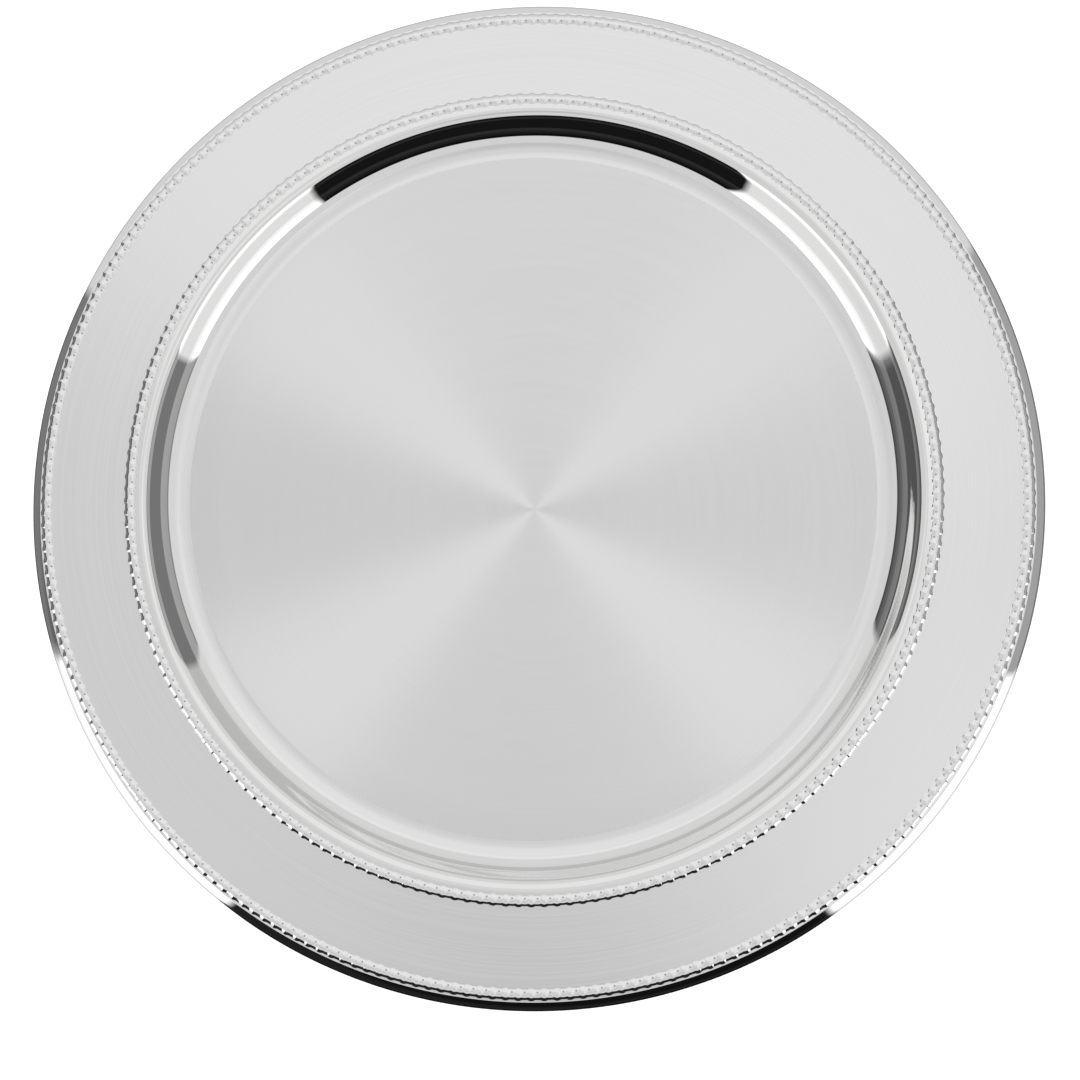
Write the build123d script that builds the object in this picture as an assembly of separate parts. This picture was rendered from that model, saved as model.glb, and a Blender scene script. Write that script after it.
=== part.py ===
from build123d import *
from build123d.topology import SkipClean
import os
from math import asin, cos, degrees, pi, radians, sin

# A round silver salver with a satin well, a mirror-polished cavetto and two beaded borders.
# Millimetres, +Z up along the salver's axis. The origin is the centre of its base, on the table.

# --- Tray sheet -----------------------------------------------------------------------------
plate_diameter = 330.0      # over the rolled edge
rim_height = 9.1            # show face of the rim above the table
rim_width = 24.3            # flat rim showing between the two borders
lip_width = 0.75            # level lip between the cavetto and the inner border
sheet = 0.8                 # one gauge of metal throughout
wall_slope = 52.0           # steepest slope of the cavetto, degrees from level
floor_fillet = 11.0         # well floor into the cavetto, on the show face
shoulder_radius = 4.5       # cavetto into the lip, on the show face

# --- Wired edge -----------------------------------------------------------------------------
knee_radius = 1.2           # flat rim into the sloping edge, on the show face
edge_slope = 20.0           # fall of the edge between the knee and the curl, degrees
edge_land = 2.2             # length of that slope
wire_radius = 0.9           # stiffening wire inside the curl
wire_clearance = 0.03       # wire to the inside of the curl, all round
curl_turn = 250.0           # how far the sheet wraps the wire, degrees

# --- Beaded borders, soldered flat on the rim -----------------------------------------------
bead_radius = 1.95          # of each bead's round footprint
bead_height = 0.65          # bead crown above the rim
bead_gap = 0.1              # between the footprints of two beads
core_half_width = 1.6       # half the wire that joins the beads
core_height = 0.5           # the same wire above the rim
edge_margin = 0.05          # outer border back from the start of the knee

# --- What follows from them -----------------------------------------------------------------
plate_radius = plate_diameter / 2
fall = radians(edge_slope)
curl_radius = wire_radius + wire_clearance + sheet
edge_width = curl_radius * (1 - sin(fall)) + edge_land * cos(fall) + knee_radius * sin(fall)
curl_drop = knee_radius * (1 - cos(fall)) + edge_land * sin(fall) + curl_radius * cos(fall)
curl_centre = (plate_radius - curl_radius, rim_height - curl_drop)
knee_start = plate_radius - edge_width
outer_border_radius = knee_start - edge_margin - bead_radius
inner_border_radius = outer_border_radius - rim_width - 2 * bead_radius
mouth_radius = inner_border_radius - bead_radius - lip_width


def sheet_section(start, moves):
    """Section of bent sheet: its show face leaves start along +X, its back face lies below it.

    A move is ("run", length) or ("bend", show face radius, angle), where a positive angle
    bends the sheet upwards. Both faces of a bend share one centre.
    """
    show, back = [], []
    place, heading = Vector(*start), 0.0

    def along(angle):
        return Vector(cos(radians(angle)), sin(radians(angle)))

    for move in moves:
        below = along(heading - 90) * sheet
        if move[0] == "run":
            end = place + along(heading) * move[1]
            show.append(Line(place, end))
            back.append(Line(place + below, end + below))
            place = end
            continue
        radius, angle = move[1:]
        side = 90 if angle > 0 else -90
        centre = place + along(heading + side) * radius
        middle = along(heading - side + angle / 2)
        last = along(heading - side + angle)
        back_radius = radius + sheet if angle > 0 else radius - sheet
        end = centre + last * radius
        show.append(ThreePointArc(place, centre + middle * radius, end))
        back.append(
            ThreePointArc(place + below, centre + middle * back_radius, centre + last * back_radius)
        )
        place, heading = end, heading + angle
    ends = [Line(show[0] @ 0, back[0] @ 0), Line(show[-1] @ 1, back[-1] @ 1)]
    return make_face(Wire(show + back + ends))


def turned(section, angle=360):
    """A section drawn in X and Y, stood up in the XZ plane and turned about Z."""
    return revolve(Plane.XZ * section, Axis.Z, angle)


def tray_body():
    """One sheet: well floor, cavetto, lip, flat rim, and the edge curled round its wire."""
    slope = radians(wall_slope)
    bends = floor_fillet + shoulder_radius
    wall_rise = rim_height - sheet - bends * (1 - cos(slope))
    wall_length = wall_rise / sin(slope)
    floor_radius = mouth_radius - bends * sin(slope) - wall_length * cos(slope)
    moves = [
        ("run", floor_radius),
        ("bend", floor_fillet, wall_slope),
        ("run", wall_length),
        ("bend", shoulder_radius, -wall_slope),
        ("run", knee_start - mouth_radius),
        ("bend", knee_radius, -edge_slope),
        ("run", edge_land),
        ("bend", curl_radius, -curl_turn),
    ]
    quarter = turned(sheet_section((0, sheet), moves), 90)
    with SkipClean():  # four seams, evenly spaced, so that the faces are alike all round
        return quarter.fuse(*[Rot(0, 0, turn) * quarter for turn in (90, 180, 270)])


def cap_radius(half_width, height):
    """Radius of the circle whose cap is this high over this half width."""
    return (half_width**2 + height**2) / (2 * height)


def bead_border(ring_radius):
    """Bead wire bent to a ring: round-topped beads on a lower round-topped core, flat beneath."""
    inside = (ring_radius - core_half_width, rim_height)
    crown = (ring_radius, rim_height + core_height)
    outside = (ring_radius + core_half_width, rim_height)
    core = turned(make_face(Wire([ThreePointArc(inside, crown, outside), Line(outside, inside)])))
    ball_radius = cap_radius(bead_radius, bead_height)
    ball_drop = ball_radius - bead_height
    bead = Sphere(ball_radius, arc_size1=degrees(asin(ball_drop / ball_radius)), align=None)
    place = Pos(ring_radius, 0, rim_height - ball_drop)
    count = round(2 * pi * ring_radius / (2 * bead_radius + bead_gap))
    return core.fuse(*[Rot(0, 0, 360 * i / count) * place * bead for i in range(count)])


def edge_wire():
    """Stiffening wire inside the curl."""
    radius, height = curl_centre
    return Pos(0, 0, height) * Torus(radius, wire_radius)


nodes = {
    "tray_body": tray_body(),
    "inner_bead_border": bead_border(inner_border_radius),
    "outer_bead_border": bead_border(outer_border_radius),
    "edge_wire": edge_wire(),
}

os.makedirs("parts", exist_ok=True)
for name, solid in nodes.items():
    export_step(solid, f"parts/{name}.step")
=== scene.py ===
from math import cos, exp, pi, radians, sin, sqrt

import bpy
from mathutils import Matrix, Vector


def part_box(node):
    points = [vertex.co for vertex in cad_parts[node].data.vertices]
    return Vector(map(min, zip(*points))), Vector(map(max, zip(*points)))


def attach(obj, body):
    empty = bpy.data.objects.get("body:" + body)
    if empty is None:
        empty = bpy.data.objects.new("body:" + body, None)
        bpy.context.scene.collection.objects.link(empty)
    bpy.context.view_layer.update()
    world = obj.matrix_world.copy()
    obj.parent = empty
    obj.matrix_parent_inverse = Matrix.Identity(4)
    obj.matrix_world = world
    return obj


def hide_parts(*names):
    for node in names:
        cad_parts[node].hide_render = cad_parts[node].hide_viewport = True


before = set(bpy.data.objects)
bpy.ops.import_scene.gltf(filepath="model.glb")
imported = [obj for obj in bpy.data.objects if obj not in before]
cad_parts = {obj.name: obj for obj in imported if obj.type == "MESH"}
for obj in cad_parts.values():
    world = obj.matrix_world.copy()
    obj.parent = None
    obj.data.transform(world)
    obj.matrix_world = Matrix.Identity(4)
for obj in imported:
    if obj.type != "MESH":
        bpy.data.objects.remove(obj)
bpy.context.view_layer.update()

# ------------------------------------------------------------------------------------------
# Sizes. The frame gives the outer ones; the rest are the salver's own gauge, bends and beads.
# ------------------------------------------------------------------------------------------
MM = 0.001
_, tray_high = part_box("tray_body")
_, inner_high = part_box("inner_bead_border")
_, outer_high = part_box("outer_bead_border")
wire_low, wire_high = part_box("edge_wire")

plate_radius = tray_high.x
rim_height = tray_high.z
sheet = 0.8 * MM
wall_slope = radians(52)
floor_fillet = 11.0 * MM
shoulder_radius = 4.5 * MM
lip_width = 0.75 * MM
knee_radius = 1.2 * MM
edge_slope = radians(20)
edge_land = 2.2 * MM
edge_margin = 0.05 * MM
curl_turn = radians(250)

bead_radius = 1.95 * MM
bead_gap = 0.1 * MM
bead_height = outer_high.z - rim_height
pit_offset = -0.75 * MM                  # pits between the beads, inward of the ring's middle
pit_depth = 0.10 * MM
pit_spread = 0.22 * MM
core_half_width = 1.6 * MM
core_height = 0.5 * MM
inner_border_radius = inner_high.x - bead_radius
outer_border_radius = outer_high.x - bead_radius

wire_radius = (wire_high.z - wire_low.z) / 2
wire_ring_radius = wire_high.x - wire_radius
curl_radius = plate_radius - wire_ring_radius
knee_start = outer_border_radius + bead_radius + edge_margin

mouth_radius = inner_border_radius - bead_radius - lip_width
turned_line_radius = 114.2 * MM
turned_line_width = 0.25 * MM
turned_line_depth = 0.02 * MM
satin_reach = radians(24)                # the satin runs this far up the cavetto, by its slope
brush_centre = (2.5 * MM, -7.0 * MM)     # the satin of the well was brushed a little off the axis


# ------------------------------------------------------------------------------------------
# Node helpers
# ------------------------------------------------------------------------------------------
class Nodes:
    """A small front end to a node tree, so that each material reads as a short recipe."""

    def __init__(self, tree):
        self.tree = tree

    def add(self, kind, inputs=None, **settings):
        node = self.tree.nodes.new(kind)
        for name, value in settings.items():
            setattr(node, name, value)
        for name, value in (inputs or {}).items():
            self.feed(node.inputs[name], value)
        return node

    def feed(self, socket, value):
        if isinstance(value, bpy.types.NodeSocket):
            self.tree.links.new(value, socket)
        elif isinstance(value, bpy.types.Node):
            self.tree.links.new(value.outputs[0], socket)
        else:
            socket.default_value = value

    def math(self, operation, first, second=0.0):
        return self.add("ShaderNodeMath", {0: first, 1: second}, operation=operation)

    def fade(self, value, low, high, to_low=0.0, to_high=1.0):
        """As value goes from low to high this goes smoothly from to_low to to_high, and no further."""
        inputs = {"Value": value, "From Min": low, "From Max": high, "To Min": to_low, "To Max": to_high}
        return self.add("ShaderNodeMapRange", inputs, interpolation_type="SMOOTHSTEP")

    def mix(self, share, first, second):
        """Two numbers mixed."""
        return self.add("ShaderNodeMix", {"Factor": share, "A": first, "B": second}, data_type="FLOAT")

    def mix_colours(self, share, first, second):
        """Two colours mixed."""
        # Mix has an A and a B for each kind of data: sockets 6 and 7 are the colours', and output 2.
        colours = {0: share, 6: first, 7: second}
        return self.add("ShaderNodeMix", colours, data_type="RGBA").outputs[2]

    def grey(self, tone):
        """A colour with all three channels at tone."""
        return self.add("ShaderNodeCombineColor", {0: tone, 1: tone, 2: tone})

    def in_plan(self, place):
        """A place's coordinates, its vector from the Z axis, and its distance from that axis."""
        split = self.add("ShaderNodeSeparateXYZ", {0: place})
        flat = self.add("ShaderNodeCombineXYZ", {"X": split.outputs["X"], "Y": split.outputs["Y"]})
        length = self.add("ShaderNodeVectorMath", {0: flat}, operation="LENGTH").outputs["Value"]
        return split, flat, length

    def ramp(self, share, stops):
        """A grey ramp: stops are (place, brightness)."""
        node = self.add("ShaderNodeValToRGB", {"Fac": share})
        band = node.color_ramp
        while len(band.elements) > 1:
            band.elements.remove(band.elements[-1])
        band.elements[0].position = stops[0][0]
        band.elements[0].color = (*[stops[0][1]] * 3, 1)
        for place, grey in stops[1:]:
            band.elements.new(place).color = (grey, grey, grey, 1)
        return node


def new_material(name, metallic=1.0):
    material = bpy.data.materials.new(name)
    material.use_nodes = True
    material.node_tree.nodes.clear()
    nodes = Nodes(material.node_tree)
    shader = nodes.add("ShaderNodeBsdfPrincipled")
    shader.inputs["Metallic"].default_value = metallic
    nodes.add("ShaderNodeOutputMaterial", {"Surface": shader})
    return material, nodes, shader


def turning_marks(nodes, per_mm, seed, centre=(0, 0)):
    """Noise that runs round a centre, like a spinning polisher's marks: fine across, long round it."""
    spots_round = 1.6                    # size of the circle that one turn takes through the noise
    place = nodes.add("ShaderNodeTexCoord").outputs["Object"]
    place = nodes.add("ShaderNodeVectorMath", {0: place, 1: (*centre, 0)}, operation="SUBTRACT").outputs[0]
    _, flat, radius = nodes.in_plan(place)
    round_it = nodes.add("ShaderNodeVectorMath", {0: flat}, operation="NORMALIZE").outputs["Vector"]
    across = nodes.math("MULTIPLY", radius, per_mm / MM)
    turn = nodes.add("ShaderNodeVectorMath", {0: round_it, "Scale": spots_round}, operation="SCALE")
    spot = nodes.add("ShaderNodeSeparateXYZ", {0: turn})
    warped = nodes.add("ShaderNodeCombineXYZ", {"X": across, "Y": spot.outputs["X"], "Z": spot.outputs["Y"]})
    return nodes.add("ShaderNodeTexNoise", {"Vector": warped, "W": seed, "Scale": 1.0, "Detail": 3.0},
                     noise_dimensions="4D").outputs["Fac"]


def specks(nodes, place, per_mm):
    """Fine noise, alike in every direction."""
    noise = nodes.add("ShaderNodeTexNoise", {"Vector": place, "Scale": per_mm / MM, "Detail": 2.0})
    return noise.outputs["Fac"]


def along_the_brush(nodes, centre):
    """The way the brush ran at each place: round its centre."""
    place = nodes.add("ShaderNodeTexCoord").outputs["Object"]
    offset = nodes.add("ShaderNodeVectorMath", {0: place, 1: (*centre, 0)}, operation="SUBTRACT").outputs[0]
    axis = (0, 0, 1)
    round_it = nodes.add("ShaderNodeVectorMath", {0: axis, 1: offset}, operation="CROSS_PRODUCT").outputs[0]
    way = nodes.add("ShaderNodeVectorTransform", {0: round_it}, vector_type="VECTOR",
                    convert_from="OBJECT", convert_to="WORLD").outputs[0]
    return nodes.add("ShaderNodeVectorMath", {0: way}, operation="NORMALIZE").outputs[0]


# ------------------------------------------------------------------------------------------
# Materials
# ------------------------------------------------------------------------------------------
def spun_satin():
    """The well: satin put on while the tray spins, so it shines along every radius."""
    material, nodes, shader = new_material("spun_satin")
    marks = turning_marks(nodes, per_mm=3.0, seed=1.0, centre=brush_centre)
    tone = nodes.fade(marks, 0.3, 0.7, 0.95, 0.98)
    nodes.feed(shader.inputs["Base Color"], nodes.grey(tone))
    nodes.feed(shader.inputs["Roughness"], nodes.fade(marks, 0.3, 0.7, 0.36, 0.42))
    shader.inputs["Anisotropic"].default_value = 0.9
    shader.inputs["Anisotropic Rotation"].default_value = 0.25
    nodes.feed(shader.inputs["Tangent"], along_the_brush(nodes, brush_centre))
    return material


def rim_satin():
    """The flat rim, the outermost floor and the foot of the cavetto: a finer, more even satin."""
    material, nodes, shader = new_material("rim_satin")
    marks = turning_marks(nodes, per_mm=4.0, seed=2.0)
    tone = nodes.fade(marks, 0.3, 0.7, 0.87, 0.91)
    nodes.feed(shader.inputs["Base Color"], nodes.grey(tone))
    nodes.feed(shader.inputs["Roughness"], nodes.fade(marks, 0.3, 0.7, 0.20, 0.26))
    return material


def mirror_polish():
    """The rest of the cavetto, the lip and the edge: buffed bright, with a few hairlines."""
    material, nodes, shader = new_material("mirror_polish")
    marks = turning_marks(nodes, per_mm=1.5, seed=3.0)
    nodes.feed(shader.inputs["Roughness"], nodes.fade(marks, 0.45, 0.8, 0.02, 0.05))
    shader.inputs["Base Color"].default_value = (0.91, 0.91, 0.905, 1)
    return material


def back_satin():
    """The underside: left as it came off the spinning lathe."""
    material, nodes, shader = new_material("back_satin")
    marks = turning_marks(nodes, per_mm=1.2, seed=4.0)
    tone = nodes.fade(marks, 0.25, 0.75, 0.74, 0.84)
    nodes.feed(shader.inputs["Base Color"], nodes.grey(tone))
    nodes.feed(shader.inputs["Roughness"], nodes.fade(marks, 0.3, 0.7, 0.28, 0.42))
    return material


def bead_silver(ring_radius):
    """Bright bead wire, with painted shade in the pits on the inner side, one between each two beads: a
    darker, rougher spot in each.
    """
    # painted shade in the pits: its full size, how far it fades out, and its tone and roughness
    painted_shade_core, painted_shade_reach = 0.10 * MM, 0.45 * MM
    painted_shade_tone, painted_shade_roughness = 0.40, 0.5
    material, nodes, shader = new_material("bead_silver")
    place = nodes.add("ShaderNodeTexCoord").outputs["Object"]
    split, _, radius = nodes.in_plan(place)
    across = nodes.math("SUBTRACT", radius, ring_radius + pit_offset)
    count = bead_count(ring_radius)
    turn = nodes.math("ARCTAN2", split.outputs["Y"], split.outputs["X"])
    beads_on = nodes.math("FRACT", nodes.math("ADD", nodes.math("MULTIPLY", turn, count / (2 * pi)), count))
    along = nodes.math("MULTIPLY", nodes.math("SUBTRACT", beads_on, 0.5), 2 * pi * ring_radius / count)
    from_pit = nodes.add("ShaderNodeCombineXYZ", {"X": across, "Y": along})
    distance = nodes.add("ShaderNodeVectorMath", {0: from_pit}, operation="LENGTH").outputs["Value"]
    # painted shade: full at the pit between two beads, fading out a little way round it
    painted_shade = nodes.fade(distance, painted_shade_core, painted_shade_reach, to_low=1.0, to_high=0.0)
    spots = specks(nodes, place, per_mm=1.5)
    unshaded_tone = nodes.fade(spots, 0.3, 0.7, 0.90, 0.93)
    # the specked silver tone, darkened to the painted shade's tone at each pit
    tone = nodes.mix(painted_shade, unshaded_tone, painted_shade_tone)
    nodes.feed(shader.inputs["Base Color"], nodes.grey(tone))
    bright = nodes.fade(spots, 0.4, 0.7, 0.05, 0.09)
    nodes.feed(shader.inputs["Roughness"], nodes.mix(painted_shade, bright, painted_shade_roughness))
    return material


def drawn_wire():
    """The hidden stiffening wire: dull and dark, with fine specks."""
    material, nodes, shader = new_material("drawn_wire")
    place = nodes.add("ShaderNodeTexCoord").outputs["Object"]
    spots = specks(nodes, place, per_mm=0.9)
    tone = nodes.fade(spots, 0.3, 0.7, 0.42, 0.56)
    nodes.feed(shader.inputs["Base Color"], nodes.grey(tone))
    nodes.feed(shader.inputs["Roughness"], nodes.fade(spots, 0.3, 0.7, 0.38, 0.5))
    return material


# ------------------------------------------------------------------------------------------
# Shapes
# ------------------------------------------------------------------------------------------
TURN_STEPS = 720
WELL, BRIGHT, SATIN, BACK = range(4)     # the tray's material slots


def new_piece(name, vertices, faces, materials, face_slots=None):
    mesh = bpy.data.meshes.new(name)
    mesh.from_pydata(vertices, [], faces)
    for material in materials:
        mesh.materials.append(material)
    if face_slots is not None:
        mesh.polygons.foreach_set("material_index", face_slots)
    mesh.shade_smooth()
    piece = bpy.data.objects.new(name, mesh)
    bpy.context.scene.collection.objects.link(piece)
    return piece


def bend_points(place, heading, radius, angle, step):
    """Points and headings along a bend that starts at place: radius to the show face, angle up positive."""
    count = max(2, round(abs(angle) / step))
    side = pi / 2 if angle > 0 else -pi / 2
    centre = (place[0] + radius * cos(heading + side), place[1] + radius * sin(heading + side))
    made = []
    for i in range(1, count + 1):
        now = heading + angle * i / count
        made.append(((centre[0] + radius * cos(now - side), centre[1] + radius * sin(now - side)), now))
    return made


def tray_outline():
    """(point on the show face, heading, finish of the stretch before it), out from the axis."""
    bends = floor_fillet + shoulder_radius
    wall_rise = rim_height - sheet - bends * (1 - cos(wall_slope))
    wall_length = wall_rise / sin(wall_slope)
    floor_radius = mouth_radius - bends * sin(wall_slope) - wall_length * cos(wall_slope)
    half_line = turned_line_width / 2
    made = [((0.0, sheet), 0.0, WELL)]
    for share in (0.25, 0.5, 0.75, 0.9):
        made.append(((turned_line_radius * share, sheet), 0.0, WELL))
    made.append(((turned_line_radius - half_line, sheet), 0.0, WELL))
    made.append(((turned_line_radius, sheet - turned_line_depth), 0.0, SATIN))
    made.append(((turned_line_radius + half_line, sheet), 0.0, SATIN))
    made.append(((floor_radius, sheet), 0.0, SATIN))

    def run(length, finish, pieces=1):
        (x, y), heading, _ = made[-1]
        for i in range(1, pieces + 1):
            along = length * i / pieces
            made.append(((x + along * cos(heading), y + along * sin(heading)), heading, finish))

    def bend(radius, angle, finish, step=radians(2.5)):
        place, heading, _ = made[-1]
        for point, now in bend_points(place, heading, radius, angle, step):
            made.append((point, now, finish))

    bend(floor_fillet, satin_reach, SATIN)
    bend(floor_fillet, wall_slope - satin_reach, BRIGHT)
    run(wall_length, BRIGHT, pieces=4)
    bend(shoulder_radius, -wall_slope, BRIGHT)
    run(lip_width, BRIGHT)
    run(2 * bead_radius, BRIGHT)
    run(outer_border_radius - inner_border_radius - 2 * bead_radius, SATIN, pieces=4)
    run(knee_start - outer_border_radius + bead_radius, BRIGHT)
    bend(knee_radius, -edge_slope, BRIGHT)
    run(edge_land, BRIGHT, pieces=2)
    bend(curl_radius, -curl_turn, BRIGHT, step=radians(6))
    return made


def tray_sheet():
    """The sheet turned about the axis: show face out, round the cut edge, and back along the back face."""
    outline = tray_outline()
    show = [point for point, _, _ in outline]
    back = [(x + sheet * sin(heading), y - sheet * cos(heading)) for (x, y), heading, _ in outline]
    back = [(x, max(0.0, y)) for x, y in back]    # flat under the turned line
    section = show[1:] + back[:0:-1]
    finishes = [finish for _, _, finish in outline[2:]] + [BRIGHT] + [BACK] * (len(back) - 2)
    vertices = [(0.0, 0.0, show[0][1]), (0.0, 0.0, back[0][1])]
    for i in range(TURN_STEPS):
        turn = 2 * pi * i / TURN_STEPS
        vertices += [(x * cos(turn), x * sin(turn), y) for x, y in section]
    faces, slots = [], []
    rows = len(section)
    for i in range(TURN_STEPS):
        here, there = 2 + i * rows, 2 + (i + 1) % TURN_STEPS * rows
        faces.append((0, here, there))
        slots.append(WELL)
        for j in range(rows - 1):
            faces.append((here + j, here + j + 1, there + j + 1, there + j))
            slots.append(finishes[j])
        faces.append((1, there + rows - 1, here + rows - 1))
        slots.append(BACK)
    return new_piece("tray_sheet", vertices, faces,
                     [spun_satin(), mirror_polish(), rim_satin(), back_satin()], slots)


def bead_count(ring_radius):
    return round(2 * pi * ring_radius / (2 * bead_radius + bead_gap))


def bead_wire(name, ring_radius):
    """Beads on a lower core, cut to the wire's own scalloped outline, with a flat back.

    Height is a soft maximum of bead and core, scaled so that a bead's crown keeps bead_height.
    """
    count = bead_count(ring_radius)
    pitch = 2 * pi * ring_radius / count
    power = 6                            # a higher one makes a sharper valley between bead and core
    crown = (1 + (core_height / bead_height) ** power) ** (1 / power)
    per_bead, rows = 16, 21              # mesh points along each bead, and across the wire
    ball = (bead_radius**2 + bead_height**2) / (2 * bead_height)
    core = (core_half_width**2 + core_height**2) / (2 * core_height)

    def cap(radius, height, distance_squared):
        inside = radius**2 - distance_squared
        return max(0.0, sqrt(inside) - (radius - height)) if inside > 0 else 0.0

    steps = count * per_bead
    vertices, faces = [], []
    for i in range(steps):
        turn = 2 * pi * i / steps
        along = ((i / per_bead + 0.5) % 1 - 0.5) * pitch
        half_width = max(core_half_width, sqrt(max(0.0, bead_radius**2 - along**2)))
        for j in range(rows):
            across = half_width * -cos(pi * j / (rows - 1))
            bead = cap(ball, bead_height, across**2 + along**2)
            joining = cap(core, core_height, across**2)
            from_pit = (across - pit_offset) ** 2 + (pitch / 2 - abs(along)) ** 2
            pit = pit_depth * exp(-from_pit / (2 * pit_spread**2))
            height = max(0.0, (bead**power + joining**power) ** (1 / power) / crown - pit)
            radius = ring_radius + across
            vertices.append((radius * cos(turn), radius * sin(turn), rim_height + height))
    for i in range(steps):
        here, there = i * rows, (i + 1) % steps * rows
        for j in range(rows - 1):
            faces.append((here + j, here + j + 1, there + j + 1, there + j))
        faces.append((here + rows - 1, here, there, there + rows - 1))
    return new_piece(name, vertices, faces, [bead_silver(ring_radius)])


def stiffening_wire():
    """The round wire inside the curl."""
    around = 20
    middle = (wire_low.z + wire_high.z) / 2
    vertices, faces = [], []
    for i in range(TURN_STEPS):
        turn = 2 * pi * i / TURN_STEPS
        for j in range(around):
            tilt = 2 * pi * j / around
            radius = wire_ring_radius + wire_radius * cos(tilt)
            vertices.append((radius * cos(turn), radius * sin(turn), middle + wire_radius * sin(tilt)))
    for i in range(TURN_STEPS):
        here, there = i * around, (i + 1) % TURN_STEPS * around
        for j in range(around):
            k = (j + 1) % around
            faces.append((here + j, there + j, there + k, here + k))
    return new_piece("stiffening_wire", vertices, faces, [drawn_wire()])


tray = tray_sheet()
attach(tray, "root")
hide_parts("tray_body")

inner_beads = bead_wire("inner_bead_wire", inner_border_radius)
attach(inner_beads, "root")
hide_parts("inner_bead_border")

outer_beads = bead_wire("outer_bead_wire", outer_border_radius)
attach(outer_beads, "root")
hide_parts("outer_bead_border")

wire = stiffening_wire()
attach(wire, "root")
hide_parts("edge_wire")


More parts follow.
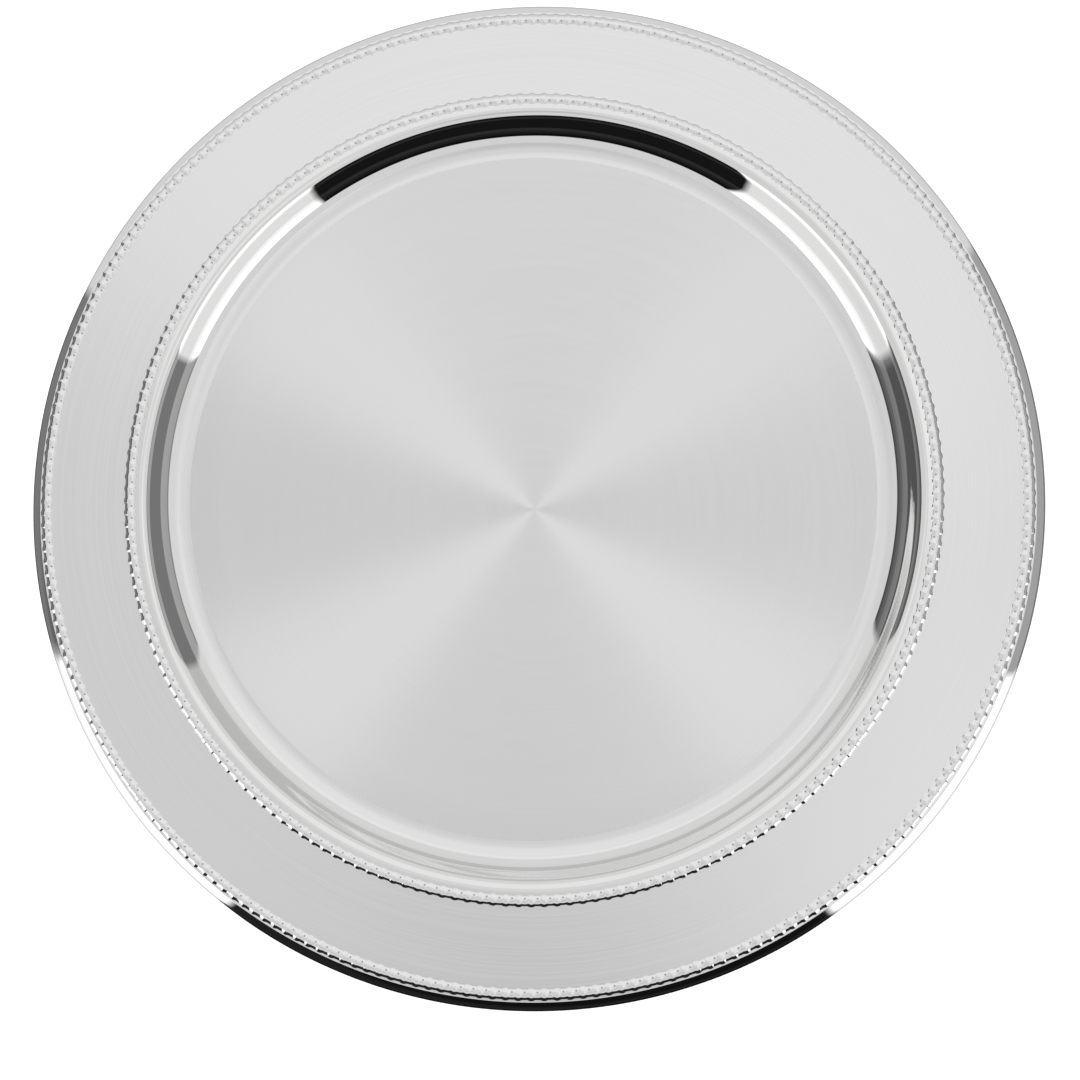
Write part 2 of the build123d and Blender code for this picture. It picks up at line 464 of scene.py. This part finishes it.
# ------------------------------------------------------------------------------------------
# Studio
# ------------------------------------------------------------------------------------------
def studio_world():
    """A pale canopy overhead, and cards round the sides: black, white, dark and pale grey.

    Azimuth runs from +X towards +Y: in turns on the overhead ramps, in degrees on the cards.
    A polar angle is measured down from straight overhead, in degrees. Mirror-bright metal shows
    little but what stands round it, so the cards' places are what draws the bands in the
    cavetto and on the edge.
    """
    world = bpy.data.worlds.new("studio")
    world.use_nodes = True
    world.node_tree.nodes.clear()
    nodes = Nodes(world.node_tree)
    way = nodes.add("ShaderNodeSeparateXYZ", {0: nodes.add("ShaderNodeTexCoord").outputs["Generated"]})
    angle = nodes.math("ARCTAN2", way.outputs["Y"], way.outputs["X"])
    azimuth = nodes.math("FRACT", nodes.math("ADD", nodes.math("DIVIDE", angle, 2 * pi), 1.0))
    polar = nodes.math("ARCCOSINE", way.outputs["Z"])

    def from_here_down(start, soft, above, below):
        """below, from a polar angle on; soft is the blur of the edge in degrees."""
        share = nodes.fade(polar, radians(start - soft / 2), radians(start + soft / 2))
        return nodes.mix_colours(share, above, below)

    # Overhead: brightest behind, duller on the left and in front.
    canopy = nodes.ramp(azimuth, [(0.0, 0.84), (0.05, 0.77), (0.10, 0.90), (0.14, 0.85), (0.40, 0.84),
                                  (0.414, 0.665), (0.61, 0.67), (0.69, 0.54), (0.75, 0.54), (0.85, 0.80),
                                  (0.90, 0.85), (1.0, 0.84)]).outputs["Color"]
    # Lower down it evens out, except behind.
    skirt = nodes.ramp(azimuth, [(0.0, 0.72), (0.10, 0.73), (0.14, 0.85), (0.38, 0.84), (0.42, 0.68),
                                 (1.0, 0.70)]).outputs["Color"]
    zenith = (0.72, 0.72, 0.72, 1)
    sky = from_here_down(start=12, soft=7, above=zenith, below=canopy)
    sky = from_here_down(start=25, soft=5, above=sky, below=skirt)

    # Each card: the azimuth it starts at, and how bright it is from each band start down.
    band_starts = (48, 52, 58, 66, 75, 84)
    cards = {
        "pale grey, behind": (37, (0.72, 0.72, 0.72, 0.70, 0.54, 0.52)),
        "dark, on the left": (150, (0.05, 0.10, 0.13, 0.20, 0.22, 0.09)),
        "white, front left": (190, (1.40, 1.40, 1.40, 1.00, 0.80, 0.75)),
        "black, in front": (226, (0.002, 0.006, 0.015, 0.026, 0.008, 0.007)),
        "white, front right": (307, (1.40, 1.40, 1.40, 1.00, 0.80, 0.75)),
        "grey, on the right": (345, (0.25, 0.37, 0.38, 0.39, 0.19, 0.19)),
    }
    starts = [start for start, _ in cards.values()]
    edge_blur, band_blur = 0.5, 2.0      # degrees: between two cards, and between two bands
    for i, band_start in enumerate(band_starts):
        greys = [levels[i] for _, levels in cards.values()]
        stops = []
        for j, (start, grey) in enumerate(zip(starts, greys)):
            stops += [((start - edge_blur / 2) / 360, greys[j - 1]), ((start + edge_blur / 2) / 360, grey)]
        sky = from_here_down(band_start, band_blur, sky, nodes.ramp(azimuth, stops).outputs["Color"])

    light = nodes.add("ShaderNodeBackground", {"Color": sky})
    paper = nodes.add("ShaderNodeBackground", {"Color": (1, 1, 1, 1)})
    seen = nodes.add("ShaderNodeLightPath").outputs["Is Camera Ray"]
    both = nodes.add("ShaderNodeMixShader", {0: seen, 1: light, 2: paper})
    nodes.add("ShaderNodeOutputWorld", {"Surface": both})
    bpy.context.scene.world = world


def floor():
    """Plain white paper under the salver. It gives a little light of its own, so it stays white."""
    half = 3.0
    corners = [(-half, -half, 0), (half, -half, 0), (half, half, 0), (-half, half, 0)]
    material, nodes, shader = new_material("white_paper", metallic=0.0)
    shader.inputs["Base Color"].default_value = (0.9, 0.9, 0.9, 1)
    shader.inputs["Roughness"].default_value = 0.9
    shader.inputs["Emission Color"].default_value = (1, 1, 1, 1)
    shader.inputs["Emission Strength"].default_value = 0.75
    paper = new_piece("paper_floor", corners, [(0, 1, 2, 3)], [material])
    paper.location.z = -0.05 * MM        # just clear of the salver's underside
    paper.visible_glossy = False


studio_world()
floor()
bpy.context.scene.view_settings.view_transform = "Standard"

# ------------------------------------------------------------------------------------------
# Camera: close above the salver, a little below and to the right of its centre
# ------------------------------------------------------------------------------------------
camera_height = 360 * MM                # above the rim
camera_x, camera_y = 26.35 * MM, -55.7 * MM
pitch, yaw = radians(5.966), radians(-3.436)    # off straight down: towards +Y, and towards -X

camera_data = bpy.data.cameras.new("camera")
camera_data.sensor_width = 36
camera_data.lens = 37.53
camera = bpy.data.objects.new("camera", camera_data)
bpy.context.scene.collection.objects.link(camera)
camera.location = (camera_x, camera_y, rim_height + camera_height)
forward = Vector((sin(yaw) * cos(pitch), sin(pitch), -cos(yaw) * cos(pitch)))
right = Vector((cos(yaw), 0, sin(yaw)))
up = right.cross(forward)
turn = Matrix((right, up, -forward)).transposed().to_4x4()
camera.matrix_world = Matrix.Translation(camera.location) @ turn
camera_data.clip_start = 0.01
camera_data.clip_end = 20
bpy.context.scene.camera = camera
